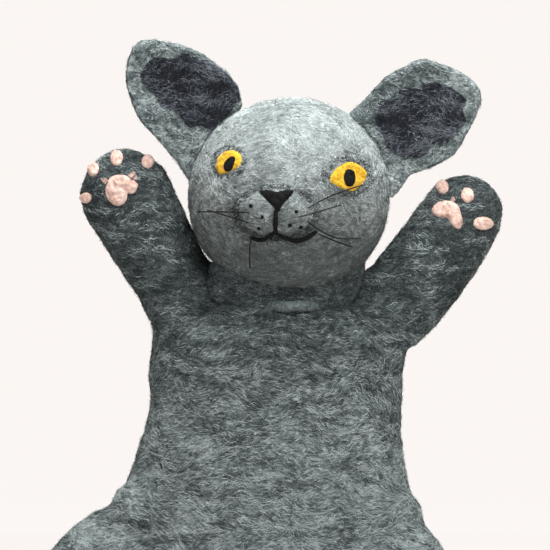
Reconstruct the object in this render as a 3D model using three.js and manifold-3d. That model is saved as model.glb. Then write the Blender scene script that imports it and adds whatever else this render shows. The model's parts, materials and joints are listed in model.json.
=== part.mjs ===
// A felted wool glove puppet of a grey cat, standing as it does on a raised hand.
// Millimetres, +Z up, the front faces -Y. The puppet's own left hand is on the +X side.
// The origin is at the middle of the bounding box, on the surface that the hem rests on.
import * as THREE from "three";
import { LoftGeometry } from "three/addons/geometries/LoftGeometry.js";
import { mergeVertices } from "three/addons/utils/BufferGeometryUtils.js";
import Module from "manifold-3d";

const wasm = await Module();
wasm.setup();

// ---- Driving dimensions ----

const FELT = 4; // thickness of the body felt
const SKIN = 3; // thickness of the felt round the stuffed head, paws and legs
const GAP = 0.3; // clearance left between pieces that touch
const PLAY = 0.6; // clearance round pieces that turn
const SWEEP = 1.4; // clearance round the space that a limb sweeps through
const FRAME_SHIFT = [2.5, 10, 0]; // moves the layout's centre line onto the box's centre

// The torso's sections: height, middle x, half width, half depth.
const SKIRT = [
  [0, -3, 80, 56],
  [40, -3.5, 80, 52],
  [72, -5, 79.5, 48],
  [103, -2, 72.5, 44],
];
const WAIST = [
  [103 + GAP, -2, 72.5, 44],
  [121 - GAP, 0, 70, 42.5],
];
const CHEST = [
  [121, 0, 70, 42.5],
  [142, 0, 70.5, 42],
  [157, 0, 70, 40],
  [167, 0, 65, 36],
  [174, 0, 54, 30],
  [178, 0, 38, 23],
];
const NECK_HOLE = 20;

const HEAD_CENTRE = [7.4, -12, 236];
const HEAD_RADII = [56.2, 56, 55.2];
const HEAD_ROLL = 7.6; // degrees, the left side lower
const MOUTH_OF_HEAD = 28; // radius of the opening under the head
const NOD_BELOW_CENTRE = 25;
const FINGER = 11; // radius of the finger's channel
const NECK_TUBE = { outer: 15, bottom: 166, top: 203 };
const NECK_COLLAR = { bottom: 169, top: 179 };
// The fold of felt between the chest and the head: sections like the torso's, set forward.
const NECK_FOLD = [
  [179 + GAP, 6, 36, 27],
  [187, 6.5, 38.5, 30],
  [198, 8, 41.5, 33],
];
const NECK_FOLD_FORWARD = 7;
const MUZZLE = { at: [-5, -45, -9.5], radii: [24.8, 16.5, 16.5] };

const SHOULDER_BALL = 24;
const SHOULDER_INWARD = [17, -22]; // where the way in from the chest comes from: inwards, down
const PAW_WOOL_FROM = 58; // how far from the pivot the wool in the paw starts
const SLEEVE_WAY = 15; // radius of the ways into and out of the shoulder
const ARM_LOWER = 55; // degrees down and out
const ARM_FOLD = [-10, 50]; // degrees back and forward
const LEG_LIFT = 45;
const LEG_BALL = 20;

// Limbs: pivot, then stations of x, y, z, half width, half depth, towards a round end.
const RIGHT_ARM = {
  side: "right",
  outward: -1,
  pivot: [-46, 3, 167],
  stations: [
    [-46, 3, 167, 21, 19],
    [-56, 3, 190, 22, 20],
    [-64, 3, 202, 23.2, 20.5],
    [-72, 3, 214, 25, 21],
    [-85, 3, 238, 26, 21],
  ],
};
const LEFT_ARM = {
  side: "left",
  outward: 1,
  pivot: [51, 3, 162],
  stations: [
    [51, 3, 162, 22.5, 19],
    [60, 3, 171.5, 23.5, 20],
    [70, 3, 182, 23.3, 20.5],
    [86, 3, 200, 21.4, 20.5],
    [94, 3, 212, 22, 20.5],
    [101.4, 3, 228, 22.7, 20.5],
  ],
};
const RIGHT_LEG = {
  side: "right",
  pivot: [-74, -10, 44],
  stations: [
    [-74, -10, 44, 19, 19],
    [-88, -12, 38, 26, 26],
    [-104, -15, 25, 25, 25],
  ],
};
const LEFT_LEG = {
  side: "left",
  pivot: [63, -14, 42],
  stations: [
    [63, -14, 42, 19, 19],
    [69, -22, 34, 23.5, 23.5],
    [74, -30, 24, 24, 24],
  ],
};

// Ears, in the head's own frame: outline points of x and z. The lowest points are in the head.
const RIGHT_EAR = {
  side: "right",
  outline: [[-52, -4], [-60, 6.5], [-66, 13.5], [-80, 24.5], [-88, 31.5], [-96, 45],
    [-98.5, 55], [-97, 70], [-91, 75], [-80, 75.6], [-64.5, 73.8], [-54, 69], [-45, 64.5],
    [-38.5, 59], [-33, 47], [-38, 30], [-46, 12]],
  lining: [[-80, 66], [-70, 71], [-60, 68], [-49.5, 62], [-42.5, 54], [-42, 47], [-50, 40],
    [-60, 38], [-72, 44], [-81, 53], [-84, 60]],
};
const LEFT_EAR = {
  side: "left",
  outline: [[27, 50], [33.5, 57], [42.5, 69.5], [48, 76], [60.5, 83.4], [67.5, 84.7],
    [85, 80.5], [95, 75], [98.2, 65], [96, 55], [90.3, 40], [85.5, 33], [75, 26], [65, 20.4],
    [58, 8], [52, 4], [44, 14], [34, 32]],
  lining: [[53, 61], [65, 67], [77, 68], [85, 63], [86.5, 56], [82, 48], [75, 39.5],
    [66, 34], [58, 31], [52, 36], [48, 45], [48, 54]],
};
const EAR = { front: -7, back: 1 };
const EAR_DISH = [36, 4.5, 34]; // radii of the shallow dish in the front of each ear
const LINING = 1.2; // thickness of the dark layer in the dish

// The face, in the head's own frame: x and z as seen from the front.
const EYES = [
  {
    side: "right",
    outline: [[-42, 10.8], [-40.6, 16.5], [-35.5, 19.8], [-30.3, 18.7], [-28.2, 15.6],
      [-29.3, 11.1], [-33.8, 7.8], [-37.9, 5.7], [-40.7, 7.3]],
    pupil: { at: [-34.8, 12.2], radii: [2.6, 4.9], lean: 25 },
  },
  {
    side: "left",
    outline: [[20.2, 9.9], [23.1, 17.4], [30.3, 22.2], [37.2, 20.2], [40.4, 17.4],
      [39.3, 12.7], [34, 6.4], [27.7, 7.1], [22.6, 8.5]],
    pupil: { at: [31.2, 13.3], radii: [3.3, 5], lean: 6 },
  },
];
const IRIS_RISE = 1.6;
const PUPIL_RISE = 2.2;
const NOSE_RISE = 2.4;
const NOSE = [[-16.7, -0.1], [2.2, 0.7], [-6, -10.8]];
const PHILTRUM = [[-5.9, -12], [-5.4, -17], [-5, -21]];
const MOUTHS = [
  ["right_mouth_line", [[-6.4, -23.2], [-9, -25.4], [-12.1, -27], [-16.6, -26.2]]],
  ["left_mouth_line", [[-3.4, -23], [1, -24.2], [6.8, -24.8], [12.5, -22.4], [16.4, -19.1]]],
];
const WHISKER_DOTS = {
  right: [[-19.9, -9.3], [-13.2, -14.4], [-14, -20.5]],
  left: [[4.7, -9.3], [2.4, -16.7], [8.4, -17]],
};
// Whiskers: name and points of x, z and how far the thread stands off the felt.
const WHISKERS = [
  ["right_whisker_1", [[-19.9, -12.9, 2], [-34.2, -14.2, 6], [-48.9, -15.8, 12]]],
  ["right_whisker_2", [[-19.8, -18.5, 2], [-28.3, -16.8, 5], [-43.7, -14.2, 12]]],
  ["chin_whisker", [[-16, -22.5, 2.4], [-17.6, -27, 3.5], [-17.3, -35, 6], [-16.1, -43.1, 9]]],
  ["left_whisker_1", [[10.3, -6.9, 2], [15.8, -2.3, 3], [27.5, 4.9, 6], [39.6, 10.6, 12]]],
  ["left_whisker_2", [[6, -12, 2], [13.4, -9, 3], [28.4, -2.1, 8]]],
  ["left_whisker_3", [[11, -13.2, 2], [16.6, -16.3, 3], [28.2, -20.2, 6], [42.5, -18.4, 12]]],
  ["left_whisker_4", [[18.4, -19.4, 2.4], [31.7, -22.8, 6], [37.4, -23.6, 8]]],
];
const THREAD = 0.8; // thickness of a whisker
const THREAD_SIDES = 6;
const STITCH = { thick: 1.8, off: 1.3 };
const DOT = [1.3, 1.1, 1.3];

// Paw pads: outlines of x and z about a middle. The first is the palm pad.
const RIGHT_PADS = [
  {
    at: [-85.7, 239.2],
    outline: [[-8.5, 3.3], [-6.2, 7.4], [-1.2, 8.8], [3.7, 7.8], [7.7, 4.9], [9.2, 2.9],
      [7.7, -0.8], [5.7, -2.2], [3.5, -2], [3, -4.8], [1.2, -7.7], [-2, -8.8], [-5.7, -7.3],
      [-8.6, -3.6], [-9.2, -0.4]],
  },
  { at: [-102, 251.1], radii: [3.5, 4.3], lean: -10 },
  { at: [-88.8, 257.4], radii: [3.5, 4.8], lean: -18 },
  { at: [-71.5, 255.7], radii: [3.6, 4.4], lean: 8 },
  { at: [-106, 235.2], radii: [3.5, 3.1], lean: 0 },
];
const LEFT_PADS = [
  {
    at: [95.3, 225.6],
    outline: [[-8.3, 3], [-6.9, 5.5], [-4, 7.3], [-0.7, 8], [3.2, 7.3], [6, 5.2], [7.3, 1.6],
      [8.3, -2.6], [8, -6.2], [6.3, -8], [3.4, -6.9], [1.3, -4.4], [0.2, -2], [-0.1, -0.5],
      [-2.6, -1.6], [-5.4, -1.2], [-7.9, 0.6]],
  },
  { at: [82.5, 238.5], radii: [3.1, 3.9], lean: 20 },
  { at: [92.9, 241.5], radii: [3.4, 4.5], lean: 18 },
  { at: [106.6, 236.5], radii: [3.6, 4.5], lean: 22 },
  { at: [115.2, 220.9], radii: [6, 3.8], lean: 12 },
];
const PAD_RISE = 2.4;
const PAD_REACH = 40; // how far forward a pad's prism goes
const TOE_NAMES = ["palm_pad", "toe_pad_1", "toe_pad_2", "toe_pad_3", "side_pad"];

const SIDES = 28; // facets round the torso
const ROD_SIDES = 20;
const LIMB_SIDES = 16;
const BALL_SIDES = 16;

// ---- Materials ----

const felt = (colour) =>
  new THREE.MeshStandardMaterial({ color: colour, roughness: 0.95, metalness: 0 });
const GREY = felt(0x6f7b7b);
const PALE_GREY = felt(0x97a3a2);
const DARK_GREY = felt(0x3b3c45);
const PINK = felt(0xe8cbbf);
const YELLOW = felt(0xefb02d);
const BLACK = felt(0x141414);
const WOOL = felt(0xcfcabc);

// ---- Solids ----

// A closed three.js geometry as a manifold solid.
function solid(geometry) {
  const bare = new THREE.BufferGeometry();
  bare.setAttribute("position", geometry.getAttribute("position"));
  bare.setIndex(geometry.getIndex());
  const merged = mergeVertices(bare, 1e-4);
  return new wasm.Manifold(new wasm.Mesh({
    numProp: 3,
    vertProperties: merged.attributes.position.array,
    triVerts: new Uint32Array(merged.index.array),
  }));
}

function geometryOf(body) {
  const mesh = body.getMesh();
  const geometry = new THREE.BufferGeometry();
  geometry.setAttribute("position", new THREE.BufferAttribute(mesh.vertProperties, 3));
  geometry.setIndex(new THREE.BufferAttribute(mesh.triVerts, 1));
  geometry.computeVertexNormals();
  return geometry;
}

function node(name, body, material) {
  const mesh = new THREE.Mesh(geometryOf(body), material);
  mesh.name = name;
  return mesh;
}

function moved(geometry, [x, y, z]) {
  return geometry.translate(x, y, z);
}

// A sphere with three radii.
function ellipsoid(at, [rx, ry, rz], across = 16) {
  const geometry = new THREE.SphereGeometry(1, across, Math.round(across * 0.6));
  geometry.rotateX(Math.PI / 2);
  geometry.scale(rx, ry, rz);
  return solid(moved(geometry, at));
}

function ball(at, radius) {
  return ellipsoid(at, [radius, radius, radius], BALL_SIDES);
}

// A cylinder of the given radius from one point to another.
function rod(from, to, radius, sides = ROD_SIDES) {
  const start = new THREE.Vector3(...from);
  const along = new THREE.Vector3(...to).sub(start);
  const geometry = new THREE.CylinderGeometry(radius, radius, along.length(), sides);
  geometry.translate(0, along.length() / 2, 0);
  const turn = new THREE.Quaternion();
  turn.setFromUnitVectors(new THREE.Vector3(0, 1, 0), along.normalize());
  return solid(moved(geometry.applyQuaternion(turn), from));
}

// A loop of x, z points round an ellipse that leans to the right by some degrees.
function oval([x, z], [width, height], lean = 0, count = 12) {
  const turn = THREE.MathUtils.degToRad(-lean);
  return Array.from({ length: count }, (_, k) => {
    const angle = (2 * Math.PI * k) / count;
    const point = new THREE.Vector2(width * Math.cos(angle), height * Math.sin(angle));
    point.rotateAround(new THREE.Vector2(), turn);
    return [x + point.x, z + point.y];
  });
}

// A prism through an outline of x, z points, between two depths.
function prism(outline, front, back) {
  const shape = new THREE.Shape(outline.map(([x, z]) => new THREE.Vector2(x, z)));
  const geometry = new THREE.ExtrudeGeometry(
    shape, { depth: back - front, bevelEnabled: false });
  geometry.rotateX(Math.PI / 2);
  return solid(geometry.translate(0, back, 0));
}

function smoothed(outline) {
  const loop = [...outline, outline[0]].map(([x, z]) => new THREE.Vector2(x, z));
  return new THREE.SplineCurve(loop)
    .getPoints(outline.length * 2)
    .slice(0, -1)
    .map(({ x, y }) => [x, y]);
}

// One elliptical ring about a centre, between two half axes.
function ring(centre, across, deep, sides) {
  const points = [];
  for (let k = 0; k < sides; k++) {
    const angle = (2 * Math.PI * k) / sides;
    points.push(centre.clone()
      .addScaledVector(across, Math.cos(angle))
      .addScaledVector(deep, Math.sin(angle)));
  }
  return points;
}

// The torso between its sections, each half axis smaller by inset.
function torso(sections, inset) {
  const rings = sections.map(([z, x, width, depth]) =>
    ring(
      new THREE.Vector3(x, 0, z),
      new THREE.Vector3(width - inset, 0, 0),
      new THREE.Vector3(0, depth - inset, 0),
      SIDES,
    ));
  return solid(new LoftGeometry(rings, { capStart: true, capEnd: true }));
}

// A limb: smooth through its stations, round at the far end, every radius larger by grow.
// It starts early by that share of its radius.
function limb(stations, grow = 0, steps = 2, early = 0) {
  const spine = new THREE.CatmullRomCurve3(
    stations.map(([x, y, z]) => new THREE.Vector3(x, y, z)));
  const radii = new THREE.CatmullRomCurve3(
    stations.map(([, , , width, depth]) => new THREE.Vector3(width, depth, 0)));
  const rings = [];
  const place = (t, forward, shrink) => {
    const tangent = spine.getTangent(t);
    const deep = new THREE.Vector3(0, 1, 0);
    deep.addScaledVector(tangent, -tangent.y).normalize();
    const across = new THREE.Vector3().crossVectors(deep, tangent).normalize();
    const size = radii.getPoint(t);
    const centre = spine.getPoint(t).addScaledVector(tangent, forward * (size.x + grow));
    across.multiplyScalar((size.x + grow) * shrink);
    deep.multiplyScalar((size.y + grow) * shrink);
    rings.push(ring(centre, across, deep, LIMB_SIDES));
  };
  const spans = (stations.length - 1) * steps;
  place(0, -early, 1);
  for (let k = early ? 0 : 1; k <= spans; k++) place(k / spans, 0, 1);
  for (const degrees of [25, 48, 68, 84]) {
    const angle = THREE.MathUtils.degToRad(degrees);
    place(1, Math.sin(angle), Math.cos(angle));
  }
  return solid(new LoftGeometry(rings, { capStart: true, capEnd: true }));
}

// A body turned about a line through a point.
function turned(body, pivot, axis, degrees) {
  const there = new THREE.Matrix4().makeTranslation(...pivot);
  const back = new THREE.Matrix4().makeTranslation(-pivot[0], -pivot[1], -pivot[2]);
  const turn = new THREE.Matrix4().makeRotationAxis(
    new THREE.Vector3(...axis).normalize(), THREE.MathUtils.degToRad(degrees));
  return body.transform(there.multiply(turn).multiply(back).elements);
}

function largest(body) {
  return body.decompose().reduce((a, b) => (a.volume() > b.volume() ? a : b));
}

// Evenly spaced values from one limit to the other.
function spread([from, to], count) {
  return Array.from({ length: count }, (_, k) => from + ((to - from) * k) / (count - 1));
}

// ---- Body ----

function tube(sections) {
  const [first, last] = [sections[0], sections.at(-1)];
  const inner = [
    [first[0] - 1, ...first.slice(1)],
    ...sections.slice(1, -1),
    [last[0] + 1, ...last.slice(1)],
  ];
  return torso(sections, 0).subtract(torso(inner, FELT));
}

// A shell's front and back, which meet along the sides.
function frontAndBack(name, body) {
  return [
    node(`${name}_front`, largest(body.trimByPlane([0, -1, 0], GAP / 2)), GREY),
    node(`${name}_back`, largest(body.trimByPlane([0, 1, 0], GAP / 2)), GREY),
  ];
}

function skirtParts(legs) {
  let body = tube(SKIRT);
  for (const leg of legs) {
    for (const lift of spread([0, LEG_LIFT], 4)) {
      const swept = turned(limb(leg.stations, SWEEP), leg.pivot, liftAxis(leg), lift);
      body = body.subtract(swept);
    }
    body = body.subtract(ball(leg.pivot, LEG_BALL + SWEEP));
  }
  return frontAndBack("skirt", body);
}

// The body less the space in which the arms move.
function clearOfArms(body, arms) {
  let clear = body;
  for (const arm of arms) {
    clear = clear.subtract(ball(arm.pivot, SHOULDER_BALL + SWEEP));
    for (const lower of spread([0, ARM_LOWER], 4)) {
      for (const fold of spread(ARM_FOLD, 4)) {
        const folded = turned(limb(arm.stations, SWEEP, 1), arm.pivot, foldAxis(arm), fold);
        clear = clear.subtract(turned(folded, arm.pivot, [0, arm.outward, 0], lower));
      }
    }
  }
  return largest(clear);
}

function chestParts(arms) {
  const top = CHEST.length - 1;
  const hollow = CHEST.map(([z, ...rest], k) => [k ? z - (FELT * k) / top : z - 1, ...rest]);
  const [neckX, neckY] = HEAD_CENTRE;
  const body = torso(CHEST, 0)
    .subtract(torso(hollow, FELT))
    .subtract(rod([neckX, neckY, 155], [neckX, neckY, 190], NECK_HOLE));
  return frontAndBack("chest", clearOfArms(body, arms));
}

// ---- Limbs ----

function direction(limbData) {
  const [first, last] = [limbData.pivot, limbData.stations.at(-1)];
  return new THREE.Vector3(last[0] - first[0], last[1] - first[1], last[2] - first[2])
    .normalize();
}

// Turning about this line lifts a leg.
function liftAxis(leg) {
  const along = direction(leg);
  return [along.y, -along.x, 0];
}

// Turning about this line brings an arm forward.
function foldAxis(arm) {
  const along = direction(arm);
  return [along.z, 0, -along.x];
}

// A felt sleeve with a closed round end and an open mouth at the pivot.
function sleeve(data, wall) {
  return limb(data.stations).subtract(limb(data.stations, -wall, 2, 0.2));
}

// Wool that fills the sleeve.
function stuffing(data, wall) {
  return limb(data.stations, -wall - GAP);
}

function shoulderFold(arm) {
  const along = direction(arm).multiplyScalar(SHOULDER_BALL + 4);
  const [x, y, z] = arm.pivot;
  const inward = [x - arm.outward * SHOULDER_INWARD[0], y, z + SHOULDER_INWARD[1]];
  return ball(arm.pivot, SHOULDER_BALL)
    .subtract(ball(arm.pivot, SHOULDER_BALL - SKIN))
    .subtract(rod(arm.pivot, [x + along.x, y, z + along.z], SLEEVE_WAY, BALL_SIDES))
    .subtract(rod(arm.pivot, inward, SLEEVE_WAY, BALL_SIDES));
}

function armParts(arm, pads) {
  const name = `${arm.side}_`;
  const along = direction(arm).toArray();
  const start = new THREE.Vector3(...arm.pivot).dot(direction(arm)) + PAW_WOOL_FROM;
  const mouth = ball(arm.pivot, SHOULDER_BALL + SWEEP);
  const parts = [
    node(`${name}shoulder_fold`, shoulderFold(arm), GREY),
    node(`${name}arm_sleeve`, sleeve(arm, FELT).subtract(mouth), GREY),
    node(`${name}paw_stuffing`, stuffing(arm, FELT).trimByPlane(along, start), WOOL),
  ];
  const outside = limb(arm.stations, GAP);
  const raised = limb(arm.stations, GAP + PAD_RISE);
  pads.forEach(({ at, outline, radii, lean }, k) => {
    const loop = outline ? outline.map(([x, z]) => [at[0] + x, at[1] + z]) : oval(at, radii, lean);
    const lump = prism(loop, -PAD_REACH, arm.pivot[1]).intersect(raised).subtract(outside);
    parts.push(node(`${name}${TOE_NAMES[k]}`, lump, PINK));
  });
  return parts;
}

// The front surface of a solid at x and z, found by a ray from the front.
function surfaceY(body, x, z) {
  const mesh = new THREE.Mesh(geometryOf(body));
  const ray = new THREE.Raycaster(new THREE.Vector3(x, -300, z), new THREE.Vector3(0, 1, 0));
  return ray.intersectObject(mesh)[0].point.y;
}

function legParts(leg) {
  return [
    node(`${leg.side}_leg_skin`, sleeve(leg, SKIN), GREY),
    node(`${leg.side}_leg_stuffing`, stuffing(leg, SKIN), WOOL),
  ];
}

// ---- Head ----

function headBall(grow) {
  return ellipsoid([0, 0, 0], HEAD_RADII.map((r) => r + grow), 22);
}

// The head and muzzle together.
function faceBall(grow) {
  return headBall(grow).add(ellipsoid(MUZZLE.at, MUZZLE.radii.map((r) => r + grow), 20));
}

// The upright hollow for the neck tube and the finger, widening downwards.
function fingerChannel() {
  const nod = -NOD_BELOW_CENTRE;
  const profile = [
    [0, -60],
    [MOUTH_OF_HEAD, -60],
    [MOUTH_OF_HEAD, nod - 18],
    [19, nod - 6],
    [19, nod + 1],
    [FINGER, nod + 5],
    [FINGER, 2],
    [0, 4],
  ].map(([r, z]) => new THREE.Vector2(r, z));
  const hollow = new THREE.LatheGeometry(profile, 16).rotateX(Math.PI / 2);
  return solid(hollow.rotateY(-THREE.MathUtils.degToRad(HEAD_ROLL)));
}

function headParts() {
  const channel = fingerChannel();
  const shell = headBall(0).subtract(headBall(-SKIN)).subtract(channel);
  const fill = headBall(-SKIN - GAP).subtract(channel);
  const muzzle = ellipsoid(MUZZLE.at, MUZZLE.radii, 20).subtract(headBall(GAP));
  const face = faceBall(GAP);
  return [
    node("head_shell", shell, PALE_GREY),
    node("head_stuffing", fill, WOOL),
    node("muzzle_pad", muzzle, PALE_GREY),
    ...earParts(RIGHT_EAR),
    ...earParts(LEFT_EAR),
    ...EYES.flatMap((eye) => eyeParts(eye, face)),
    ...mouthParts(face),
    ...whiskerParts(face),
  ];
}

function earParts(ear) {
  const count = ear.lining.length;
  const x = ear.lining.reduce((sum, point) => sum + point[0], 0) / count;
  const z = ear.lining.reduce((sum, point) => sum + point[1], 0) / count;
  const dish = (inset) =>
    ellipsoid([x, EAR.front, z], EAR_DISH.map((r) => r - inset), 24);
  const clear = headBall(GAP);
  const back = prism(smoothed(ear.outline), EAR.front, EAR.back).subtract(clear);
  const lining = prism(smoothed(ear.lining), EAR.front, EAR.back)
    .intersect(dish(GAP))
    .subtract(dish(GAP + LINING))
    .subtract(clear);
  return [
    node(`${ear.side}_ear`, largest(back.subtract(dish(0))), GREY),
    node(`${ear.side}_ear_lining`, largest(lining), DARK_GREY),
  ];
}

// A patch on the front of the head, with an outline and a rise.
function patch(outline, rise, base) {
  return prism(outline, -HEAD_RADII[1] * 2, 0).intersect(headBall(rise)).subtract(base);
}

function eyeParts(eye, face) {
  const { at, radii, lean } = eye.pupil;
  const clear = prism(oval(at, radii.map((r) => r + GAP), lean), -HEAD_RADII[1] * 2, 0);
  const iris = patch(smoothed(eye.outline), IRIS_RISE, face).subtract(clear);
  return [
    node(`${eye.side}_iris`, largest(iris), YELLOW),
    node(`${eye.side}_pupil`, patch(oval(at, radii, lean), PUPIL_RISE, face), BLACK),
  ];
}

// A thread through points of x, z and how far it stands off the face.
function thread(face, points, thick) {
  const path = new THREE.CatmullRomCurve3(points.map(([x, z, off]) =>
    new THREE.Vector3(x, surfaceY(face, x, z) - off, z)));
  const section = new THREE.Shape().absarc(0, 0, thick / 2, 0, 2 * Math.PI);
  const strand = solid(new THREE.ExtrudeGeometry(section, {
    extrudePath: path,
    steps: points.length * 2,
    curveSegments: THREAD_SIDES / 2,
    bevelEnabled: false,
  }));
  return strand.subtract(face);
}

function mouthParts(face) {
  const depth = HEAD_RADII[1] * 2;
  const proud = faceBall(NOSE_RISE);
  const nose = prism(NOSE, -depth, 0).intersect(proud).subtract(face);
  const stitched = (points) =>
    thread(face, points.map(([x, z]) => [x, z, STITCH.off]), STITCH.thick);
  return [
    node("nose", largest(nose), BLACK),
    node("philtrum_line", stitched(PHILTRUM), BLACK),
    ...MOUTHS.map(([name, points]) => node(name, stitched(points), BLACK)),
  ];
}

function whiskerParts(face) {
  const parts = [];
  for (const [side, dots] of Object.entries(WHISKER_DOTS)) {
    dots.forEach(([x, z], k) => {
      const dot = ellipsoid([x, surfaceY(face, x, z), z], DOT, 8);
      parts.push(node(`${side}_whisker_dot_${k + 1}`, dot.subtract(face), BLACK));
    });
  }
  for (const [name, points] of WHISKERS)
    parts.push(node(name, thread(face, points, THREAD), BLACK));
  return parts;
}

// ---- Neck ----

function neckParts(arms) {
  const [x, y] = HEAD_CENTRE;
  const pipe = ({ bottom, top }, outer, inner) =>
    rod([x, y, bottom], [x, y, top], outer)
      .subtract(rod([x, y, bottom - 1], [x, y, top + 1], inner));
  const underHead = headBall(PLAY).rotate([0, HEAD_ROLL, 0]).translate(HEAD_CENTRE);
  const fold = torso(NECK_FOLD, 0)
    .translate([0, -NECK_FOLD_FORWARD, 0])
    .subtract(underHead)
    .subtract(rod([x, y, NECK_TUBE.bottom], [x, y, NECK_TUBE.top], NECK_TUBE.outer + PLAY));
  return [
    node("neck_tube", pipe(NECK_TUBE, NECK_TUBE.outer, FINGER), GREY),
    node("neck_collar", pipe(NECK_COLLAR, NECK_HOLE - PLAY, NECK_TUBE.outer + GAP), GREY),
    node("neck_fold", clearOfArms(fold, arms), GREY),
  ];
}

// ---- Assembly ----

const puppet = new THREE.Group();
puppet.position.set(...FRAME_SHIFT);
puppet.add(
  ...skirtParts([RIGHT_LEG, LEFT_LEG]),
  node("waist_fold", tube(WAIST), GREY),
  ...chestParts([RIGHT_ARM, LEFT_ARM]),
  ...neckParts([RIGHT_ARM, LEFT_ARM]),
  ...armParts(RIGHT_ARM, RIGHT_PADS),
  ...armParts(LEFT_ARM, LEFT_PADS),
  ...legParts(RIGHT_LEG),
  ...legParts(LEFT_LEG),
);

const head = new THREE.Group();
head.position.set(...HEAD_CENTRE);
head.rotation.y = THREE.MathUtils.degToRad(HEAD_ROLL);
head.add(...headParts());
puppet.add(head);

export default puppet;
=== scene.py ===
import json
import math

import bmesh
import bpy
import numpy as np
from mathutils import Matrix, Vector, geometry, noise
from mathutils.bvhtree import BVHTree

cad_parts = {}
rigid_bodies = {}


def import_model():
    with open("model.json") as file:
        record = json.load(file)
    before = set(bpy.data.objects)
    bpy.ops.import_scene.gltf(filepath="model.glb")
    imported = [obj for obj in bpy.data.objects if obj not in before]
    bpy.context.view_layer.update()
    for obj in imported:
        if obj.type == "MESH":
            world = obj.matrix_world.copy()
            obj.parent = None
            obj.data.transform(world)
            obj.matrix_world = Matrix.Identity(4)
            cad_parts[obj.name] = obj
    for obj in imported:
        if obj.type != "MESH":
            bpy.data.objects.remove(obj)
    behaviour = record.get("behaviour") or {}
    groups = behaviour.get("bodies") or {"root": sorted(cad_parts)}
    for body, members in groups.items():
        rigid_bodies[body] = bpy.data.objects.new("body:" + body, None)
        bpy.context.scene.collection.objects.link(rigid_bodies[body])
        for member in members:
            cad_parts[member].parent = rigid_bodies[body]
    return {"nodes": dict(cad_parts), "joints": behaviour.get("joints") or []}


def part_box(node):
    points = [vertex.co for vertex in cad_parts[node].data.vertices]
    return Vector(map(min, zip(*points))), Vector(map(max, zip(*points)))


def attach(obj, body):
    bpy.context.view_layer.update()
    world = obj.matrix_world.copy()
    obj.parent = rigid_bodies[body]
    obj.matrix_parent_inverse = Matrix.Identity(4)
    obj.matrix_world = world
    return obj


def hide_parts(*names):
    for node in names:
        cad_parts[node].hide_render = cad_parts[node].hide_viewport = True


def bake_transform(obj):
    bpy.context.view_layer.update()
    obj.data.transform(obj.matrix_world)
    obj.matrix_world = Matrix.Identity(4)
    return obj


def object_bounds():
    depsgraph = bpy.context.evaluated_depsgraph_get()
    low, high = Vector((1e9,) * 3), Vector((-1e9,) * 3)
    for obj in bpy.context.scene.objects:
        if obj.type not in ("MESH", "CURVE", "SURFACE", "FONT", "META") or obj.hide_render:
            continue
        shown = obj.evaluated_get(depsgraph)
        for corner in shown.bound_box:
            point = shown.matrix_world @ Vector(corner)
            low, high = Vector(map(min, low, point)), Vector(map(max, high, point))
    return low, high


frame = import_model()
cad_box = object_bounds()

# Lengths are in metres. "right" and "left" are the puppet's own sides, as in the CAD nodes.
MM = 0.001
CM2_PER_M2 = 1e4
FELT_THICKNESS = 4 * MM
SKIN_VOXEL = 2.2 * MM
JOINTS = {joint["name"]: joint for joint in frame["joints"]}
SKIRT_NODES = ["skirt_front", "skirt_back"]
CHEST_NODES = ["chest_front", "chest_back"]
SIDES = ("right", "left")
OUTWARD = {"right": -1, "left": 1}
UP = Vector((0, 0, 1))

# ---- Colours, linear ----

BODY_TONES = {
    "dark": (0.022, 0.029, 0.031),
    "middle": (0.095, 0.118, 0.12),
    "light": (0.40, 0.46, 0.455),
}
HEAD_TONES = {
    "dark": (0.075, 0.088, 0.087),
    "middle": (0.215, 0.245, 0.243),
    "light": (0.48, 0.535, 0.53),
}
LINING_TONES = {
    "dark": (0.010, 0.011, 0.015),
    "middle": (0.026, 0.030, 0.040),
    "light": (0.13, 0.148, 0.170),
}
PINK_TONES = {
    "dark": (0.36, 0.20, 0.16),
    "middle": (0.60, 0.43, 0.365),
    "light": (0.76, 0.60, 0.53),
}
YELLOW_TONES = {
    "dark": (0.34, 0.15, 0.01),
    "middle": (0.60, 0.35, 0.02),
    "light": (0.74, 0.53, 0.07),
}
BLACK_TONES = {
    "dark": (0.0015, 0.0015, 0.0015),
    "middle": (0.003, 0.003, 0.003),
    "light": (0.012, 0.012, 0.013),
}
WOOL_TONES = {
    "dark": (0.35, 0.33, 0.28),
    "middle": (0.55, 0.52, 0.46),
    "light": (0.75, 0.72, 0.66),
}

# ---- Materials ----

TONE_STOPS = {"dark": 0.36, "middle": 0.5, "light": 0.66}  # in the mixed noise
DARKENING = -0.16  # added to the mixed noise where a felt is darkest: painted shade, on the head partly the chin's own darker wool
PALE_FIBRES = {"finer": 1.0, "offset": (0.0, 0.0, 0.0), "width": 0.035, "share": 0.55}
DEEP_FIBRES = {"finer": 1.3, "offset": (0.31, 0.17, 0.53), "width": 0.045, "share": 0.6}


def add_node(tree, kind, inputs=None, **settings):
    made = tree.nodes.new(kind)
    for key, value in settings.items():
        setattr(made, key, value)
    for key, value in (inputs or {}).items():
        if isinstance(value, bpy.types.NodeSocket):
            tree.links.new(value, made.inputs[key])
        else:
            made.inputs[key].default_value = value
    return made


def new_material(name):
    material = bpy.data.materials.new(name)
    material.use_nodes = True
    return material, material.node_tree, material.node_tree.nodes["Principled BSDF"]


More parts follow.
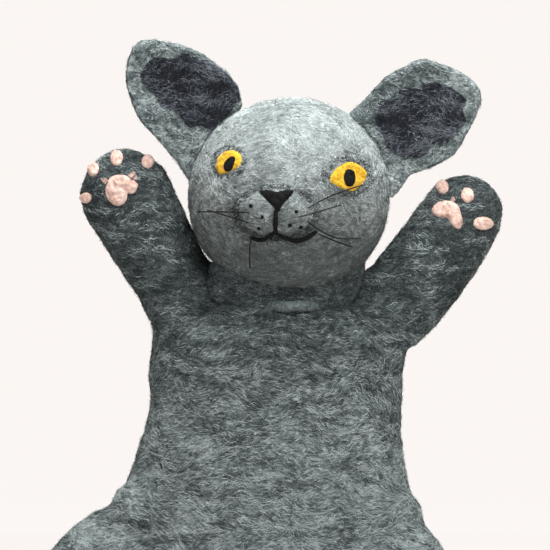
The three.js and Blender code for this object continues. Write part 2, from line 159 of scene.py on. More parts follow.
def fibre_lines(tree, place, strand, kind):
    """Thin curly lines, where a distorted noise passes its middle value: as drawn, and faded."""
    moved = add_node(tree, "ShaderNodeVectorMath", {0: place, 1: kind["offset"]}, operation="ADD")
    field = add_node(tree, "ShaderNodeTexNoise", {
        "Vector": moved.outputs[0], "Scale": kind["finer"] / strand, "Detail": 2.0,
        "Distortion": 1.4})
    off = add_node(tree, "ShaderNodeMath", {0: field.outputs[0], 1: 0.5}, operation="SUBTRACT")
    size = add_node(tree, "ShaderNodeMath", {0: off.outputs[0]}, operation="ABSOLUTE")
    line = add_node(tree, "ShaderNodeMapRange", {
        "Value": size.outputs[0], "From Min": 0.0, "From Max": kind["width"],
        "To Min": 1.0, "To Max": 0.0}, interpolation_type="SMOOTHSTEP")
    faded = add_node(tree, "ShaderNodeMath", {0: line.outputs[0], 1: kind["share"]},
                     operation="MULTIPLY")
    return line.outputs[0], faded.outputs[0]


def felt_material(name, tones, patch=24 * MM, clump=4 * MM, strand=2.4 * MM, relief=0.7 * MM,
                  darker=None, sheen=0.25):
    """Felted wool: patches and clumps of three tones, light and dark fibres, and a rough relief.
    It may be darkest at one height and get paler towards another."""
    material, tree, shader = new_material(name)
    place = add_node(tree, "ShaderNodeAttribute", attribute_name="rest").outputs["Vector"]
    patches = add_node(tree, "ShaderNodeTexNoise", {
        "Vector": place, "Scale": 1 / patch, "Detail": 3.0, "Roughness": 0.55})
    clumps = add_node(tree, "ShaderNodeTexNoise", {
        "Vector": place, "Scale": 1 / clump, "Detail": 5.0, "Roughness": 0.7,
        "Distortion": 0.7})
    mixed = add_node(tree, "ShaderNodeMix", {
        0: 0.6, 2: patches.outputs[0], 3: clumps.outputs[0]})
    # Painted shade: the felt darkens towards one height.
    if darker:
        parts = add_node(tree, "ShaderNodeSeparateXYZ", {0: place})
        down = add_node(tree, "ShaderNodeMapRange", {
            "Value": parts.outputs["Z"], "From Min": darker[0], "From Max": darker[1],
            "To Min": DARKENING, "To Max": 0.0})
        mixed = add_node(tree, "ShaderNodeMath", {0: mixed.outputs[0], 1: down.outputs[0]})
    ramp = add_node(tree, "ShaderNodeValToRGB", {0: mixed.outputs[0]})
    stops = ramp.color_ramp.elements
    stops[0].position, stops[0].color = TONE_STOPS["dark"], (*tones["dark"], 1)
    stops[1].position, stops[1].color = TONE_STOPS["light"], (*tones["light"], 1)
    middle = stops.new(TONE_STOPS["middle"])
    middle.color = (*tones["middle"], 1)
    pale, pale_part = fibre_lines(tree, place, strand, PALE_FIBRES)
    deep_part = fibre_lines(tree, place, strand, DEEP_FIBRES)[1]
    deepened = add_node(tree, "ShaderNodeMix", {
        0: deep_part, 6: ramp.outputs[0], 7: (*tones["dark"], 1)}, data_type="RGBA")
    lighter = add_node(tree, "ShaderNodeMix", {
        0: pale_part, 6: deepened.outputs[2], 7: (*tones["light"], 1)}, data_type="RGBA")
    tree.links.new(lighter.outputs[2], shader.inputs["Base Color"])
    raised = add_node(tree, "ShaderNodeMath", {0: clumps.outputs[0], 1: pale}, operation="ADD")
    bump = add_node(tree, "ShaderNodeBump", {
        "Strength": 0.9, "Distance": relief, "Height": raised.outputs[0]})
    tree.links.new(bump.outputs[0], shader.inputs["Normal"])
    shader.inputs["Roughness"].default_value = 0.95
    shader.inputs["Specular IOR Level"].default_value = 0.15
    shader.inputs["Sheen Weight"].default_value = sheen
    shader.inputs["Sheen Roughness"].default_value = 0.6
    shader.inputs["Sheen Tint"].default_value = (*tones["light"], 1)
    return material


def plain_material(name, colour, roughness=0.85):
    material, _, shader = new_material(name)
    shader.inputs["Base Color"].default_value = (*colour, 1)
    shader.inputs["Roughness"].default_value = roughness
    shader.inputs["Specular IOR Level"].default_value = 0.2
    return material


def fibre_materials(name, tones):
    return [plain_material(f"{name}_{tone}", tones[tone]) for tone in ("dark", "middle", "light")]


# ---- Mesh tools ----


def coordinates(mesh):
    found = np.empty(len(mesh.vertices) * 3)
    mesh.vertices.foreach_get("co", found)
    return found.reshape(-1, 3)


def vertex_normals(mesh):
    found = np.empty(len(mesh.vertices) * 3)
    mesh.vertices.foreach_get("normal", found)
    return found.reshape(-1, 3)


def place_vertices(mesh, found):
    mesh.vertices.foreach_set("co", np.ascontiguousarray(found, float).ravel())
    mesh.update()


def node_points(node):
    return coordinates(frame["nodes"][node].data)


def new_object(name, mesh):
    made = bpy.data.objects.new(name, mesh)
    bpy.context.scene.collection.objects.link(made)
    return made


def mesh_from(name, points, faces):
    """A smooth-shaded mesh from an array of points and a list of arrays of faces."""
    mesh = bpy.data.meshes.new(name)
    mesh.vertices.add(len(points))
    mesh.vertices.foreach_set("co", np.ascontiguousarray(points, float).ravel())
    corners = np.concatenate([f.ravel() for f in faces]).astype(np.int32)
    sizes = np.concatenate([np.full(len(f), f.shape[1]) for f in faces])
    mesh.loops.add(len(corners))
    mesh.loops.foreach_set("vertex_index", corners)
    mesh.polygons.add(len(sizes))
    mesh.polygons.foreach_set("loop_start", (np.cumsum(sizes) - sizes).astype(np.int32))
    smooth_shaded(mesh)
    mesh.update(calc_edges=True)
    return mesh


def hull_mesh(points):
    shape = bmesh.new()
    for point in points:
        shape.verts.new(point)
    made = bmesh.ops.convex_hull(shape, input=shape.verts)
    loose = {v for v in made["geom_interior"] + made["geom_unused"]
             if isinstance(v, bmesh.types.BMVert)}
    bmesh.ops.delete(shape, geom=list(loose), context="VERTS")
    mesh = bpy.data.meshes.new("hull")
    shape.to_mesh(mesh)
    shape.free()
    return mesh


def ball_points(centre, radii, across=24):
    turns = np.linspace(0, 2 * np.pi, across, endpoint=False)
    rises = np.linspace(-np.pi / 2, np.pi / 2, across // 2)
    turn, rise = np.meshgrid(turns, rises)
    unit = np.stack([np.cos(rise) * np.cos(turn), np.cos(rise) * np.sin(turn), np.sin(rise)], -1)
    return np.array(centre) + unit.reshape(-1, 3) * np.array(radii)


def fused(name, meshes, voxel, rounds):
    """One closed skin round several overlapping meshes, remeshed and smoothed."""
    together = bmesh.new()
    for mesh in meshes:
        together.from_mesh(mesh)
    joined = bpy.data.meshes.new(name)
    together.to_mesh(joined)
    together.free()
    made = new_object(name, joined)
    remesh = made.modifiers.new("remesh", "REMESH")
    remesh.mode = "VOXEL"
    remesh.voxel_size = voxel
    made.data = bpy.data.meshes.new_from_object(
        made.evaluated_get(bpy.context.evaluated_depsgraph_get()))
    made.modifiers.clear()
    made.data.name = name
    relax(made.data, rounds)
    return made


def relax(mesh, rounds, amount=0.5):
    """Moves each vertex part of the way to its neighbours' middle, several times."""
    edges = np.empty(len(mesh.edges) * 2, np.int32)
    mesh.edges.foreach_get("vertices", edges)
    a, b = edges.reshape(-1, 2).T
    points = coordinates(mesh)
    count = np.bincount(edges, minlength=len(points))[:, None]
    for _ in range(rounds):
        total = np.stack([
            np.bincount(a, points[b, k], len(points)) + np.bincount(b, points[a, k], len(points))
            for k in range(3)], -1)
        points += amount * (total / count - points)
    place_vertices(mesh, points)


def swell(mesh, distance):
    place_vertices(mesh, coordinates(mesh) + distance * vertex_normals(mesh))


def keep_outside(mesh, hulls):
    """Moves the vertices that are in one of the convex hulls out to its surface."""
    points = coordinates(mesh)
    for hull in hulls:
        hull.update()
        normals = np.array([polygon.normal[:] for polygon in hull.polygons])
        offsets = np.array([polygon.normal.dot(polygon.center) for polygon in hull.polygons])
        for at in range(0, len(points), 4000):
            some = points[at:at + 4000]
            depth = some @ normals.T - offsets
            face = depth.argmax(1)
            most = depth[np.arange(len(some)), face]
            some -= np.minimum(most, 0)[:, None] * normals[face]
    place_vertices(mesh, points)


def roughen(mesh, height, size, seed=0):
    """Pushes the surface in and out by smooth noise of the given height and grain size."""
    points, normals = coordinates(mesh), vertex_normals(mesh)
    shift = Vector((seed * 3.7, seed * 1.3, seed * 2.9))
    push = np.array([noise.noise(Vector(p) / size + shift) for p in points])
    place_vertices(mesh, points + (height * push)[:, None] * normals)


def smooth_shaded(mesh):
    mesh.polygons.foreach_set("use_smooth", np.ones(len(mesh.polygons), bool))


def remember_rest(mesh):
    """Keeps each vertex's place at rest for the materials, which then stay put in every pose."""
    rest = mesh.attributes.new("rest", "FLOAT_VECTOR", "POINT")
    rest.data.foreach_set("vector", coordinates(mesh).astype(np.float32).ravel())


def triangles_of(mesh):
    mesh.calc_loop_triangles()
    found = np.empty(len(mesh.loop_triangles) * 3, np.int32)
    mesh.loop_triangles.foreach_get("vertices", found)
    return found.reshape(-1, 3)


def surface_tree(mesh):
    return BVHTree.FromPolygons(
        coordinates(mesh).tolist(), triangles_of(mesh).tolist(), all_triangles=True)


def rim_quads(faces, count):
    """A quad from each open edge of the faces to the same edge, count vertices further on."""
    edges = np.concatenate([
        np.stack([f, np.roll(f, -1, axis=1)], -1).reshape(-1, 2) for f in faces])
    _, index, times = np.unique(
        np.sort(edges, axis=1), axis=0, return_index=True, return_counts=True)
    rim = edges[index[times == 1]]
    return np.stack([rim[:, 1], rim[:, 0], rim[:, 0] + count, rim[:, 1] + count], -1)


def shell_piece(name, points, normals, faces, thickness):
    """A felt shell: the outer faces, the same faces moved inwards, and a rim round each edge."""
    used, inverse = np.unique(np.concatenate([f.ravel() for f in faces]), return_inverse=True)
    outer, facing, count = points[used], normals[used], len(used)
    local, at = [], 0
    for f in faces:
        local.append(inverse[at:at + f.size].reshape(f.shape))
        at += f.size
    inner = [f[:, ::-1] + count for f in local]
    mesh = mesh_from(name, np.vstack([outer, outer - thickness * facing]),
                     [*local, *inner, rim_quads(local, count)])
    mesh.normals_split_custom_set_from_vertices(np.vstack([facing, -facing]))
    remember_rest(mesh)
    return new_object(name, mesh)


def face_arrays(mesh):
    """The mesh's faces as arrays of triangles, quads and so on."""
    sizes = np.empty(len(mesh.polygons), np.int32)
    mesh.polygons.foreach_get("loop_total", sizes)
    starts = np.empty(len(mesh.polygons), np.int32)
    mesh.polygons.foreach_get("loop_start", starts)
    corners = np.empty(len(mesh.loops), np.int32)
    mesh.loops.foreach_get("vertex_index", corners)
    return [corners[starts[sizes == n][:, None] + np.arange(n)] for n in np.unique(sizes)]


def cut_into(mesh, planes):
    """Cuts the mesh along each (point, normal) plane, without taking anything away."""
    shape = bmesh.new()
    shape.from_mesh(mesh)
    for point, normal in planes:
        everything = [*shape.verts, *shape.edges, *shape.faces]
        bmesh.ops.bisect_plane(shape, geom=everything, plane_co=point, plane_no=normal, dist=1e-7)
    shape.to_mesh(mesh)
    shape.free()


# ---- Wool fibres ----

TONE_SHARES = (0.42, 0.26, 0.32)  # of dark, middle and light fibres
FIBRE_STEPS = (-0.5, 0.0, 0.5)  # places along a fibre, as shares of its length
STANDING = (-0.2, 0.6, 2.0)  # heights along a fibre, as shares of its lift
LYING = (-0.3, 0.4, -0.1)
PER_OBJECT = 30000  # fibres


def fibres(name, skin, per_cm2, length, radius, materials, seed, proud=0.2, lift=1.2,
           keep=None, stray=0.75, deepen=None, mottle=0.6):
    """Short curved wool fibres, closed and tapered, that lie on the skin or stand off it.
    They run level, less or more astray; deepen darkens the fibres at each point, as painted shade
    and as the wool's own tone."""
    rng = np.random.default_rng(seed)
    points, normals = sampled(skin, per_cm2, rng, keep)
    tree = surface_tree(skin)
    count = len(points)
    swirl = np.array([noise.noise(Vector(p) / (17 * MM)) for p in points])
    angle = stray * (2.2 * swirl + rng.normal(0, 0.8, count))
    side = np.cross(normals, np.array([0.02, 0.05, 1.0]))
    side /= np.linalg.norm(side, axis=1)[:, None] + 1e-9
    other = np.cross(normals, side)
    along = side * np.cos(angle)[:, None] + other * np.sin(angle)[:, None]
    across = np.cross(normals, along)
    size = length * rng.uniform(0.5, 1.5, count)
    bend = rng.normal(0, 0.7, count)
    standing = rng.random(count) < proud
    heights = np.where(standing[:, None],
                       np.outer(rng.uniform(0.4, 1.0, count), STANDING),
                       np.outer(rng.uniform(0.3, 1.0, count), LYING))
    heights *= lift * 0.7 * MM
    nodes = np.empty((count, 3, 3))
    for k, step in enumerate(FIBRE_STEPS):
        guess = points + along * (size * step)[:, None]
        guess += across * (size * bend * step * step)[:, None]
        nodes[:, k] = on_surface(tree, guess, heights[:, k])
    streaks = np.array([noise.noise(Vector((x / 16, y / 16, z / 5)) / MM) for x, y, z in points])
    pick = rng.random(count) + mottle * streaks
    if deepen is not None:
        pick = pick - deepen(points)
    tones = np.searchsorted(np.cumsum(TONE_SHARES)[:2], pick)
    width = radius * rng.uniform(0.6, 1.3, count)
    return [
        fibre_object(f"{name}_{at // PER_OBJECT + 1}", nodes[at:at + PER_OBJECT],
                     normals[at:at + PER_OBJECT], width[at:at + PER_OBJECT],
                     tones[at:at + PER_OBJECT], materials)
        for at in range(0, count, PER_OBJECT)
    ]


def sampled(skin, per_cm2, rng, keep):
    """Random points on the skin, with their normals; keep is a test of the points."""
    triangles = triangles_of(skin)
    corners = coordinates(skin)[triangles]
    area = np.linalg.norm(
        np.cross(corners[:, 1] - corners[:, 0], corners[:, 2] - corners[:, 0]), axis=1) / 2
    picks = rng.choice(len(area), int(area.sum() * CM2_PER_M2 * per_cm2), p=area / area.sum())
    u, v = rng.random((2, len(picks)))
    over = u + v > 1
    u, v = np.where(over, 1 - u, u), np.where(over, 1 - v, v)
    weights = np.stack([1 - u - v, u, v], -1)[:, :, None]
    points = (corners[picks] * weights).sum(1)
    normals = (vertex_normals(skin)[triangles][picks] * weights).sum(1)
    if keep is not None:
        wanted = keep(points, normals)
        points, normals = points[wanted], normals[wanted]
    return points, normals / np.linalg.norm(normals, axis=1)[:, None]


def on_surface(tree, guesses, heights):
    """The guesses moved onto the surface's nearest point, then off it by the heights."""
    found = np.empty_like(guesses)
    for k, guess in enumerate(guesses.tolist()):
        place, normal = tree.find_nearest(guess)[:2]
        found[k] = place + normal * float(heights[k])
    return found


def fibre_object(name, nodes, normals, radius, tone, materials):
    """Each fibre is a three-sided spindle with a point at both ends."""
    count = len(nodes)
    along = nodes[:, 2] - nodes[:, 0]
    along /= np.linalg.norm(along, axis=1)[:, None] + 1e-9
    side = np.cross(along, normals)
    side /= np.linalg.norm(side, axis=1)[:, None] + 1e-9
    lifted = np.cross(side, along)
    points = np.empty((count, 5, 3))
    points[:, 0], points[:, 4] = nodes[:, 0], nodes[:, 2]
    first = (np.arange(count) * 5)[:, None]
    ends = []
    for k in range(3):
        turn = 2 * math.pi * k / 3
        spoke = side * math.cos(turn) + lifted * math.sin(turn)
        points[:, 1 + k] = nodes[:, 1] + spoke * radius[:, None]
        nxt = (k + 1) % 3
        ends.append(first + np.array([0, 1 + nxt, 1 + k]))
        ends.append(first + np.array([4, 1 + k, 1 + nxt]))
    mesh = mesh_from(name, points.reshape(-1, 3), [np.vstack(ends)])
    for material in materials:
        mesh.materials.append(material)
    mesh.polygons.foreach_set("material_index", np.tile(tone, 6).astype(np.int32))
    return new_object(name, mesh)


# ---- The body felt ----


def joint_point(name):
    return Vector(JOINTS[name]["pos_m"])


def joint_axis(name):
    return Vector(JOINTS[name]["axis"]).normalized()


# How steeply each sleeve's bend lies, and where it starts, turns over and ends,
# measured from the shoulder's pivot.
SLEEVE_BENDS = {
    "right": {"rise": 0.78, "start": -5.4 * MM, "turn": 14 * MM, "end": 40 * MM},
    "left": {"rise": 0.75, "start": -2.9 * MM, "turn": 15 * MM, "end": 40 * MM},
}
LEG_BEND = {"start": -2 * MM, "end": 18 * MM}
NECK_RADIUS = 20 * MM  # of the hole in the chest's top
# How far each sleeve's skin lies from its CAD solid.
ARM_SHIFT = {"right": (-0.6 * MM, 0, 0.6 * MM), "left": (2.4 * MM, 0, -2.8 * MM)}
# Felt that rounds off the armpits and the hips: middles and radii.
FILLETS = [
    ((-54, 12, 154), (13, 20, 15)), ((62, 12, 148), (13, 18, 16)),
    ((-75, -4, 62), (13.5, 22, 15)), ((69, -6, 57), (14.5, 22, 15)),
]


def sleeve_direction(side):
    rise = SLEEVE_BENDS[side]["rise"]
    return Vector((OUTWARD[side] * math.sqrt(1 - rise * rise), 0, rise))


def leg_direction(side):
    return joint_axis(f"{side}_leg_lift").cross(UP).normalized() * -1


def body_hulls():
    skirt = np.vstack([node_points(node) for node in SKIRT_NODES])
    lowered = skirt[skirt[:, 2] < 1 * MM] - np.array([0, 0, 20 * MM])
    chest = np.vstack([node_points(node) for node in CHEST_NODES])
    shapes = [np.vstack([skirt, lowered]), node_points("waist_fold"), chest]
    for side in SIDES:
        shoulder = joint_point(f"{side}_arm_lower")
        shapes.append(node_points(f"{side}_arm_sleeve") + ARM_SHIFT[side])
        shapes.append(np.vstack([
            ball_points(shoulder, [22 * MM, 20 * MM, 22 * MM]),
            arm_root(side),
        ]))
        shapes.append(np.vstack([
            node_points(f"{side}_leg_skin"),
            ball_points(joint_point(f"{side}_leg_lift"), [17 * MM] * 3),
        ]))
    for middle, radii in FILLETS:
        shapes.append(ball_points(np.array(middle) * MM, np.array(radii) * MM))
    return [hull_mesh(shape) for shape in shapes]


def arm_root(side):
    """The part of the sleeve that is nearest the shoulder."""
    points = node_points(f"{side}_arm_sleeve")
    away = np.linalg.norm(points - np.array(joint_point(f"{side}_arm_lower")), axis=1)
    return points[away < away.min() + 14 * MM]


def body_felt():
    """The whole body skin, cut into torso, shoulder, arm and leg pieces."""
    hulls = body_hulls()
    skin = fused("body", hulls, SKIN_VOXEL, 45)
    keep_outside(skin.data, hulls)
    relax(skin.data, 5)
    swell(skin.data, 0.3 * MM)
    roughen(skin.data, 1.5 * MM, 26 * MM, 1)
    roughen(skin.data, 0.7 * MM, 9 * MM, 2)
    roughen(skin.data, 0.35 * MM, 4 * MM, 3)
    planes = [(Vector((0, 0, 0)), UP)]
    arms, turns, legs = {}, {}, {}
    for side in SIDES:
        way, bend = sleeve_direction(side), SLEEVE_BENDS[side]
        pivot = joint_point(f"{side}_arm_lower")
        arms[side] = (pivot + way * bend["start"], way)
        turns[side] = (pivot + way * bend["turn"], way)
        outward = leg_direction(side)
        legs[side] = (joint_point(f"{side}_leg_lift") + outward * LEG_BEND["start"], outward)
    planes += [*arms.values(), *turns.values(), *legs.values()]
    cut_into(skin.data, planes)
    points, normals = coordinates(skin.data), vertex_normals(skin.data)
    kinds = face_arrays(skin.data)
    bpy.data.objects.remove(skin)

    def beyond(centres, plane):
        return (centres - np.array(plane[0])) @ np.array(plane[1]) > 0

    neck = joint_point("head_turn")
    pieces = {}
    for faces in kinds:
        centres = points[faces].mean(1)
        name = np.full(len(faces), "torso_felt", dtype=object)
        for side in SIDES:
            name[beyond(centres, arms[side])] = f"{side}_shoulder_felt"
            name[beyond(centres, arms[side]) & beyond(centres, turns[side])] = f"{side}_arm_felt"
            low = centres[:, 2] < joint_point("waist_bow").z - 8 * MM
            name[beyond(centres, legs[side]) & low] = f"{side}_leg_felt"
        aside = np.linalg.norm(centres[:, :2] - np.array(neck)[:2], axis=1)
        hole = (aside < NECK_RADIUS) & (centres[:, 2] > joint_point("waist_bow").z)
        name[(centres[:, 2] < 0) | hole] = ""
        for one in sorted(set(name) - {""}):
            pieces.setdefault(one, []).append(faces[name == one])
    return {
        name: shell_piece(name, points, normals, faces, FELT_THICKNESS)
        for name, faces in pieces.items()
    }


def bend_body_piece(piece, name):
    """Bakes the place of a piece of the body felt, or of its fibres, into its mesh."""
    if name == "torso_felt":
        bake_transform(piece)
        return
    side, part, _ = name.split("_")
    if part == "leg":
        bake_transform(piece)
        return
    if part == "shoulder":
        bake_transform(piece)
    else:
        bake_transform(piece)


BODY_NODES = {"torso_felt": [*SKIRT_NODES, "waist_fold", *CHEST_NODES]}
for side in SIDES:
    BODY_NODES[f"{side}_shoulder_felt"] = [f"{side}_shoulder_fold"]
    BODY_NODES[f"{side}_arm_felt"] = [f"{side}_arm_sleeve"]
    BODY_NODES[f"{side}_leg_felt"] = [f"{side}_leg_skin"]


def outer_half(piece):
    """The outer faces of a shell piece, as a mesh of their own."""
    points = coordinates(piece.data)
    count = len(points) // 2
    faces = [f[(f < count).all(axis=1)] for f in face_arrays(piece.data)]
    return mesh_from(piece.name + "_outer", points[:count], [f for f in faces if len(f)])


def body_shade(points):
    """Painted shade: the wool is darkest under the head, where the head shades the chest, and palest
    on the belly.
    """
    return np.interp(points[:, 2] / MM, [0, 60, 110, 145, 175, 230],
                     [0.02, -0.2, -0.08, 0.12, 0.36, 0.2])


def make_body():
    felt, tones = GREY
    for seed, (name, piece) in enumerate(sorted(body_felt().items())):
        piece.data.materials.append(felt)
        outer = outer_half(piece)
        wool = fibres(name.replace("felt", "fibres"), outer, 85, 8 * MM, 0.115 * MM, tones, seed,
                      stray=0.42, deepen=body_shade)
        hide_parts(*BODY_NODES[name])
        for made in (piece, *wool):
            bend_body_piece(made, name)


# ---- Head ----

HEAD_RADII = np.array([56.4, 56, 55]) * MM


def head_middle():
    low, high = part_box("head_shell")
    return np.array([(low.x + high.x) / 2, (low.y + high.y) / 2, high.z - HEAD_RADII[2]])


def chin_shade(points):
    """The wool is palest on the forehead and darkest under the chin: painted top light and painted
    shade under the chin, partly the head's own paler top and darker chin wool.
    """
    height = (points[:, 2] - head_middle()[2]) / MM
    return np.interp(height, [-50, -36, -12, 25], [1.6, 1.2, 0.12, -0.42])


def make_head():
    shapes = [hull_mesh(ball_points(head_middle(), HEAD_RADII, 40)),
              hull_mesh(node_points("muzzle_pad"))]
    head = fused("head_felt", shapes, 1.7 * MM, 8)
    roughen(head.data, 1.2 * MM, 24 * MM, 4)
    roughen(head.data, 0.6 * MM, 8 * MM, 5)
    roughen(head.data, 0.3 * MM, 3.5 * MM, 6)
    smooth_shaded(head.data)
    remember_rest(head.data)
    level = head_middle()[2]
    # Darker towards the chin and paler on top, in the felt and its fibres: painted shade and painted
    # top light, partly the head's own darker chin wool.
    head.data.materials.append(felt_material(
        "pale_grey_cover", HEAD_TONES, darker=(level - 46 * MM, level + 20 * MM)))
    wool = fibres("head_fibres", head.data, 75, 6.5 * MM, 0.115 * MM,
                  fibre_materials("pale_wool", HEAD_TONES), 20, deepen=chin_shade)
    for made in (head, *wool):
        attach(made, "head")
    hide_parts("head_shell", "muzzle_pad")
    return head


# The dark patch in each ear, in half sizes of the CAD lining from its middle.
LINING_SHAPES = {
    "right": [(-1.35, 0.1), (-1.3, 0.5), (-0.95, 0.85), (-0.5, 0.8), (-0.2, 0.98), (0.3, 0.8),
              (0.75, 0.66), (1.0, 0.3), (1.3, 0.1), (1.3, -0.4), (1.0, -1.1), (0.6, -1.5),
              (0.25, -1.35), (-0.05, -1.4), (-0.4, -0.95), (-0.85, -0.7), (-1.0, -0.35)],
    "left": [(-1.3, 0.0), (-1.15, 0.6), (-0.8, 0.85), (-0.55, 1.15), (-0.1, 1.1), (0.3, 1.3),
             (0.85, 1.1), (1.25, 0.75), (1.15, 0.35), (1.25, 0.05), (0.95, -0.4), (0.6, -0.7),
             (0.3, -0.75), (0.0, -1.05), (-0.5, -1.1), (-0.95, -0.85), (-1.1, -0.4)],
}


def make_ears():
    felt, tones = felt_material("ear_felt", BODY_TONES), GREY[1]
    dark_felt = felt_material("dark_lining", LINING_TONES, patch=12 * MM)
    dark_tones = fibre_materials("dark_wool", LINING_TONES)
    for seed, side in enumerate(SIDES):
        ear = fused(f"{side}_ear_felt", [frame["nodes"][f"{side}_ear"].data], 1.3 * MM, 6)
        swell(ear.data, 0.3 * MM)
        roughen(ear.data, 1.0 * MM, 14 * MM, seed)
        roughen(ear.data, 0.5 * MM, 5 * MM, seed)
        smooth_shaded(ear.data)
        remember_rest(ear.data)
        ear.data.materials.append(felt)
        lining = patch(f"{side}_ear_lining_felt", surface_tree(ear.data),
                       fitted(f"{side}_ear_lining", LINING_SHAPES[side]), 0.5 * MM,
                       sink=0.8 * MM, grain=1.6 * MM, edge=2 * MM, seed=seed)
        lining.data.materials.append(dark_felt)
        wool = fibres(f"{side}_ear_fibres", ear.data, 75, 6 * MM, 0.12 * MM, tones, 30 + seed,
                      deepen=lambda points: -0.06)
        dark = fibres(f"{side}_ear_lining_fibres", lining.data, 150, 8 * MM, 0.15 * MM,
                      dark_tones, 34 + seed, lift=1.6, keep=lambda p, n: n[:, 1] < 0.3)
        for slot, node, pieces in (("grey_felt", f"{side}_ear", [ear, *wool]),
                                   ("dark_grey_felt", f"{side}_ear_lining", [lining, *dark])):
            for piece in pieces:
                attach(piece, "head")
            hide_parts(node)


# ---- Face and pads ----


def patch(name, tree, outline, rise, sink=1.5 * MM, grain=0.6 * MM, edge=1.2 * MM, seed=0):
    """A felted patch on the front of a surface, given as its tree: its outline is in x and z,
    its top is rounded to the given rise, and its back lies under the surface."""
    loop = smooth_loop(outline, grain)
    low, high = loop.min(0), loop.max(0)
    xs, zs = np.meshgrid(np.arange(low[0], high[0], grain), np.arange(low[1], high[1], grain))
    inside = np.stack([xs.ravel(), zs.ravel()], -1)
    inside = inside[inside_loop(inside, loop)]
    far = np.array([edge_distance(p, loop) for p in inside])
    inside, far = inside[far > grain * 0.6], far[far > grain * 0.6]
    flat = np.vstack([loop, inside])
    ring = [(k, (k + 1) % len(loop)) for k in range(len(loop))]
    spread = geometry.delaunay_2d_cdt([Vector(p) for p in flat], ring, [], 1, 1e-9)
    where = np.array([tuple(p) for p in spread[0]])
    faces = np.array([f for f in spread[2] if len(f) == 3], np.int32)
    depth = np.array([edge_distance(p, loop) for p in where])
    height = rise * np.sqrt(np.clip(1 - (1 - np.clip(depth / (edge + rise), 0, 1)) ** 2, 0, 1))
    height *= np.array([1 + 0.35 * noise.noise(Vector((p[0], p[1], seed)) / (2.2 * MM))
                        for p in where])
    front, back = [], []
    for (x, z), h in zip(where, height):
        hit = tree.ray_cast(Vector((x, -1, z)), Vector((0, 1, 0)))
        if hit[0] is None:
            hit = tree.find_nearest(Vector((x, -0.05, z)))
        front.append(hit[0] + hit[1] * (h - 0.1 * MM))
        back.append(hit[0] - hit[1] * sink)
    count = len(where)
    area = np.cross(where[faces[:, 1]] - where[faces[:, 0]], where[faces[:, 2]] - where[faces[:, 0]])
    faces[area < 0] = faces[area < 0][:, ::-1]
    points = np.array([tuple(p) for p in front + back])
    mesh = mesh_from(name, points, [faces, faces[:, ::-1] + count, rim_quads([faces], count)])
    remember_rest(mesh)
    return new_object(name, mesh)


def catmull_rom(p0, p1, p2, p3, t):
    """The smooth curve from p1 to p2, a share t of the way along it."""
    return 0.5 * (2 * p1 + (p2 - p0) * t + (2 * p0 - 5 * p1 + 4 * p2 - p3) * t ** 2
                  + (3 * p1 - p0 - 3 * p2 + p3) * t ** 3)


def smooth_loop(outline, step):
    """A closed Catmull-Rom curve through the outline's points, in even steps."""
    points = np.array(outline)
    before, after, later = (np.roll(points, k, axis=0) for k in (1, -1, -2))
    dense = []
    for t in np.linspace(0, 1, 16, endpoint=False):
        dense.append(catmull_rom(before, points, after, later, t))
    curve = np.stack(dense, 1).reshape(-1, 2)
    closed = np.vstack([curve, curve[:1]])
    lengths = np.concatenate([[0], np.cumsum(np.linalg.norm(np.diff(closed, axis=0), axis=1))])
    steps = np.linspace(0, lengths[-1], max(12, int(lengths[-1] / step)), endpoint=False)
    return np.stack([np.interp(steps, lengths, closed[:, k]) for k in range(2)], -1)


def inside_loop(points, loop):
    x, y = points[:, 0][:, None], points[:, 1][:, None]
    x0, y0 = loop[:, 0], loop[:, 1]
    x1, y1 = np.roll(x0, -1), np.roll(y0, -1)
    crosses = (y0 > y) != (y1 > y)
    at = x0 + (y - y0) / np.where(y1 == y0, 1e-12, y1 - y0) * (x1 - x0)
    return ((crosses & (x < at)).sum(1) % 2).astype(bool)


def edge_distance(point, loop):
    start, end = loop, np.roll(loop, -1, axis=0)
    way = end - start
    t = np.clip(((point - start) * way).sum(1) / (way * way).sum(1), 0, 1)
    return np.linalg.norm(start + way * t[:, None] - point, axis=1).min()


def fitted(node, shape):
    """An outline given in -1 to 1, stretched to a CAD node's box in the front view."""
    low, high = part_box(node)
    middle, half = (low + high) / 2, (high - low) / 2
    return [(middle.x + u * half.x, middle.z + v * half.z) for u, v in shape]


EYE_SHAPES = {
    "right": [(-1, -0.2), (-0.7, 0.6), (0.05, 1), (0.77, 0.78), (1, 0.25), (0.77, -0.36),
              (0.1, -0.78), (-0.54, -1), (-0.88, -0.7)],
    "left": [(-1, -0.34), (-0.64, 0.5), (0.1, 1), (0.74, 0.66), (1, 0.22), (0.84, -0.34),
             (0.28, -1), (-0.34, -0.84), (-0.78, -0.54)],
}
PUPIL_SHAPES = {
    "right": [(-0.7, -0.9), (-0.95, -0.2), (-0.4, 0.6), (0.5, 1), (1, 0.7), (0.85, 0),
              (0.4, -0.8), (-0.2, -1)],
    "left": [(-0.6, -0.85), (-1, 0), (-0.6, 0.85), (0.1, 1), (0.8, 0.7), (1, -0.1),
             (0.6, -0.85), (0, -1)],
}
NOSE_SHAPE = [(-1, 0.86), (-0.5, 1), (0, 0.84), (0.5, 1), (1, 0.92), (0.72, 0.25), (0.34, -0.4),
              (0.1, -1), (-0.16, -0.55), (-0.66, 0.2)]
